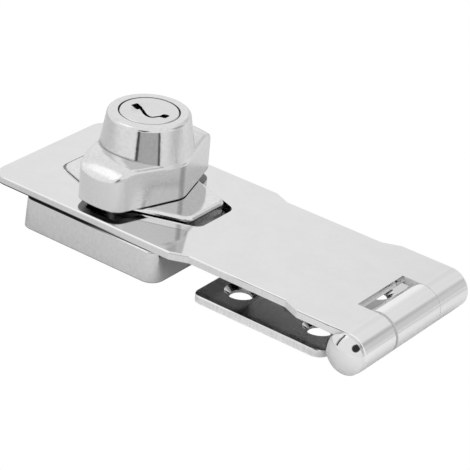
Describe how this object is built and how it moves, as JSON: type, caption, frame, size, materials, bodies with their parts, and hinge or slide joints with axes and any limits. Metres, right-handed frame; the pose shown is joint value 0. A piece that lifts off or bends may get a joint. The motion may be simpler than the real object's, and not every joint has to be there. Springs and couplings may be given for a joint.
{
  "type": "keyed locking hasp",
  "caption": "Keyed locking hasp: a winged knob with a key plug turns on a six-sided boss to trap or free a windowed strap that is hinged to a folded screw leaf.",
  "frame": {"origin": "on the mounting plane, on the knob's axis, at the middle of the housing's four screw holes", "axes": "+X along the strap from the knob to the hinge, +Z out of the mounting plane along the knob's axis"},
  "size_m": [0.1143, 0.0475, 0.0314],
  "materials": {
    "housing_chrome": "polished chrome on a zinc casting",
    "strap_chrome": "polished chrome on steel sheet",
    "pin_chrome": "polished chrome on steel",
    "knob_chrome": "polished chrome on a zinc casting",
    "plug_nickel": "nickel-bright, finely turned",
    "brass": "stamped",
    "slide_steel": "sintered, oiled",
    "zinc_steel": "zinc plated",
    "spring_steel": "drawn wire and strip"
  },
  "bodies": {
    "housing": {"base_housing": "housing_chrome", "hasp_strap": "strap_chrome", "hinge_pin": "pin_chrome"},
    "leaf": {"hinge_leaf": "strap_chrome"},
    "knob": {"knob": "knob_chrome", "stop_plate": "zinc_steel", "plate_screw_1": "zinc_steel", "plate_screw_2": "zinc_steel", "spring_washer": "spring_steel"},
    "plug": {"lock_plug": "plug_nickel", "plug_retainer": "brass", "wafer_spring_1": "spring_steel", "wafer_spring_2": "spring_steel", "wafer_spring_3": "spring_steel", "wafer_spring_4": "spring_steel", "wafer_spring_5": "spring_steel"},
    "slide": {"locking_slide": "slide_steel"},
    "wafer_1": {"wafer_1": "brass"},
    "wafer_2": {"wafer_2": "brass"},
    "wafer_3": {"wafer_3": "brass"},
    "wafer_4": {"wafer_4": "brass"},
    "wafer_5": {"wafer_5": "brass"}
  },
  "joints": [
    {"name": "leaf_swing", "type": "hinge", "parent": "housing", "child": "leaf", "pos_m": [0.07745, 0, 0.00525], "axis": [0, -1, 0], "range_deg": [0, 270]},
    {"name": "knob_turn", "type": "hinge", "parent": "housing", "child": "knob", "pos_m": [0, 0, 0], "axis": [0, 0, 1], "range_deg": [0, 90]},
    {"name": "plug_turn", "type": "hinge", "parent": "knob", "child": "plug", "pos_m": [0, 0, 0], "axis": [0, 0, 1], "range_deg": [0, 90]},
    {"name": "slide_travel", "type": "slide", "parent": "knob", "child": "slide", "axis": [1, 0, 0], "range_m": [0, 0.00227]},
    {"name": "wafer_1_travel", "type": "slide", "parent": "plug", "child": "wafer_1", "axis": [1, 0, 0], "range_m": [0, 0.0012], "stiffness_N_per_m": 50},
    {"name": "wafer_2_travel", "type": "slide", "parent": "plug", "child": "wafer_2", "axis": [-1, 0, 0], "range_m": [0, 0.0012], "stiffness_N_per_m": 50},
    {"name": "wafer_3_travel", "type": "slide", "parent": "plug", "child": "wafer_3", "axis": [1, 0, 0], "range_m": [0, 0.0012], "stiffness_N_per_m": 50},
    {"name": "wafer_4_travel", "type": "slide", "parent": "plug", "child": "wafer_4", "axis": [-1, 0, 0], "range_m": [0, 0.0012], "stiffness_N_per_m": 50},
    {"name": "wafer_5_travel", "type": "slide", "parent": "plug", "child": "wafer_5", "axis": [1, 0, 0], "range_m": [0, 0.0012], "stiffness_N_per_m": 50}
  ],
  "couplings": [
    {"joint": "slide_travel", "follows": "plug_turn", "m_per_rad": 0.0014405}
  ]
}
